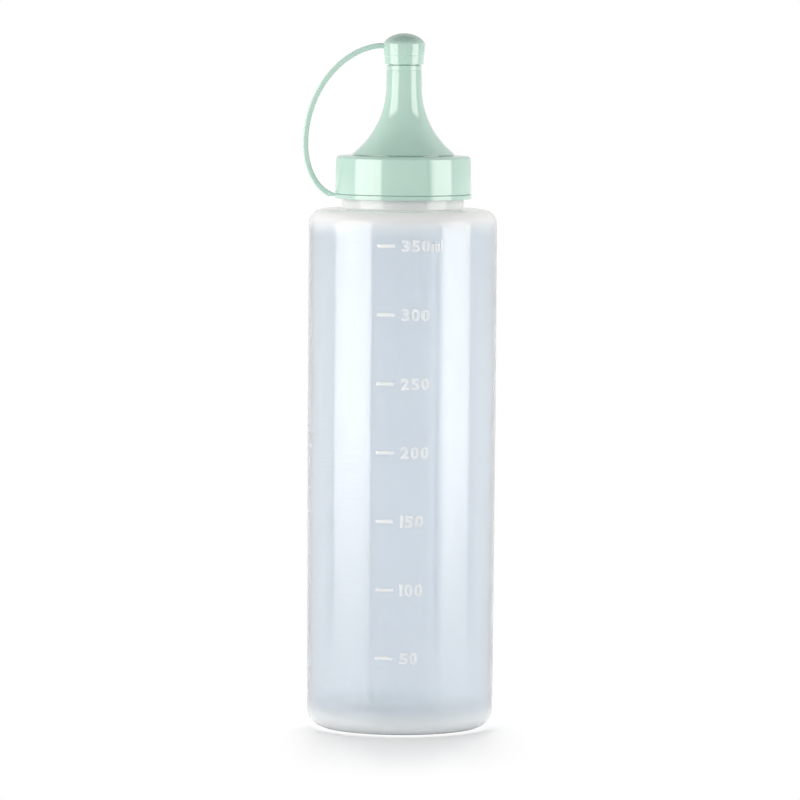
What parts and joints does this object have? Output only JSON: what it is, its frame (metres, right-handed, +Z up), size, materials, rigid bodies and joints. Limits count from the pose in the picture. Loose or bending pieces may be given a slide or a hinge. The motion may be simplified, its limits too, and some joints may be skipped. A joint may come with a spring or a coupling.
{
  "type": "squeeze sauce bottle",
  "caption": "Tall translucent squeeze bottle for sauces with raised volume marks, a mint screw cap with a conical nozzle, and a domed tip cap tethered by a bent strap.",
  "frame": {"origin": "middle of the foot, on the surface that the bottle stands on", "axes": "+Z up along the bottle's axis, -Y towards the side with the volume marks, -X towards the tether strap"},
  "size_m": [0.0588, 0.0572, 0.21],
  "materials": {
    "translucent_polyethylene": "satin, translucent",
    "mint_polyethylene": "satin",
    "white_silicone": "matte"
  },
  "bodies": {
    "bottle": {"bottle": "translucent_polyethylene"},
    "seal_washer": {"seal_washer": "white_silicone"},
    "screw_cap": {"screw_cap": "mint_polyethylene"},
    "tether": {"tether_ring": "mint_polyethylene", "tether_strap": "mint_polyethylene"},
    "tip_cap": {"tip_cap": "mint_polyethylene"}
  },
  "joints": [
    {"name": "cap_lift", "type": "slide", "parent": "bottle", "child": "seal_washer", "axis": [0, 0, 1], "range_m": [0, 0.0053]},
    {"name": "cap_turn", "type": "hinge", "parent": "seal_washer", "child": "screw_cap", "pos_m": [0, 0, 0.1665], "axis": [0, 0, 1], "range_deg": [0, 450]},
    {"name": "ring_swivel", "type": "hinge", "parent": "screw_cap", "child": "tether", "pos_m": [0, 0, 0.16145], "axis": [0, 0, 1], "continuous": true},
    {"name": "tip_cap_pull", "type": "slide", "parent": "tether", "child": "tip_cap", "axis": [0, 0, 1], "range_m": [0, 0.01], "deforming": ["tether_strap"]}
  ],
  "couplings": [
    {"joint": "cap_lift", "follows": "cap_turn", "m_per_rad": 0.00067322}
  ]
}
